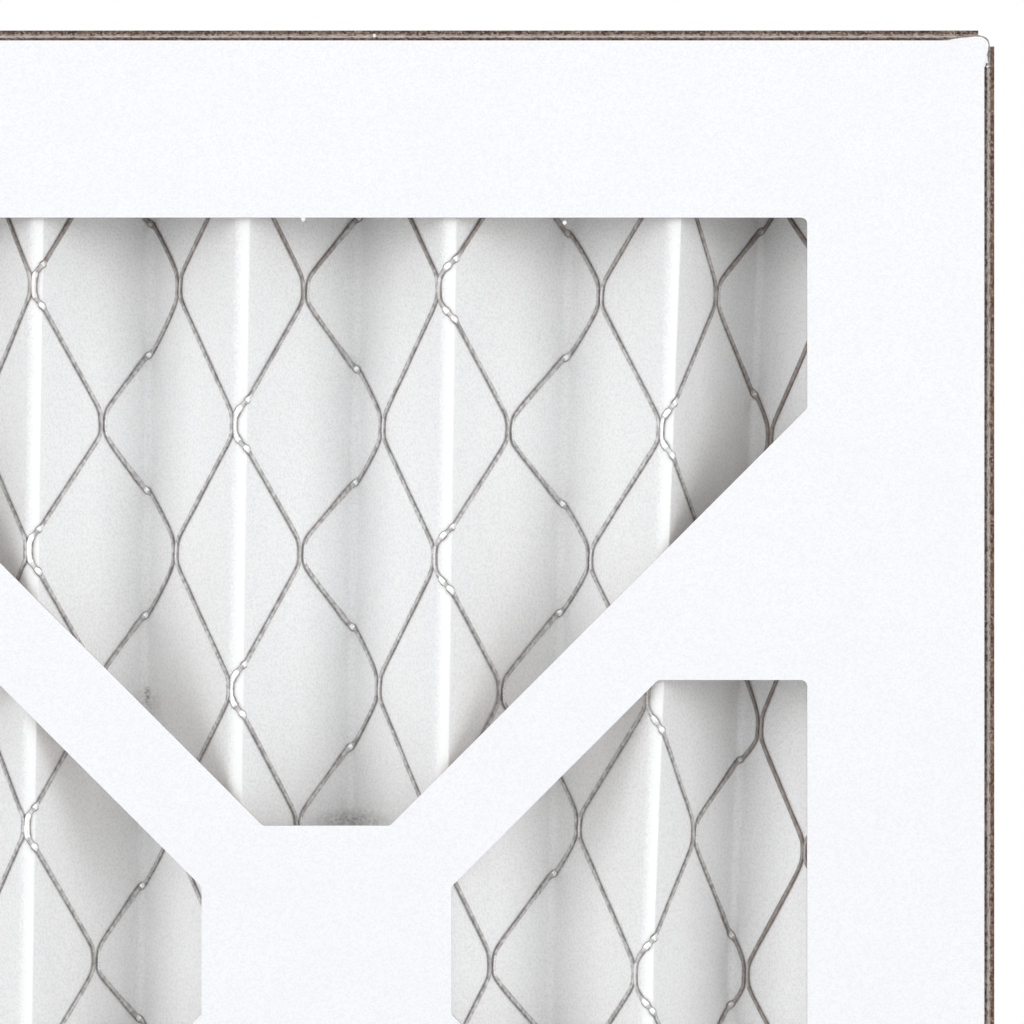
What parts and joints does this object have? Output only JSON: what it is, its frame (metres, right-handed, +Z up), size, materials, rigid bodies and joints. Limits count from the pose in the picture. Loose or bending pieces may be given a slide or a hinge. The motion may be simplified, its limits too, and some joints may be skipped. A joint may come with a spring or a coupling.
{
  "type": "pleated panel air filter",
  "caption": "Flat rectangular air filter: a white folded board frame with cut-out windows holds a pleated white media pack backed by an expanded steel grid.",
  "frame": {"origin": "middle of the footprint, on the lower edge that the filter stands on", "axes": "+X across the width, +Y from the front face (grid side) to the rear face, +Z up the height"},
  "size_m": [0.167, 0.0222, 0.23],
  "materials": {
    "front_board": "satin",
    "rear_board": "satin",
    "media": "matte",
    "grid_steel": "satin",
    "adhesive": "satin"
  },
  "bodies": {
    "root": {"front_frame": "front_board", "rear_frame": "rear_board", "filter_media": "media", "support_grid": "grid_steel", "top_end_seal": "adhesive", "bottom_end_seal": "adhesive", "left_side_seal": "adhesive", "right_side_seal": "adhesive", "front_tip_glue": "adhesive", "rear_tip_glue": "adhesive"}
  },
  "joints": []
}
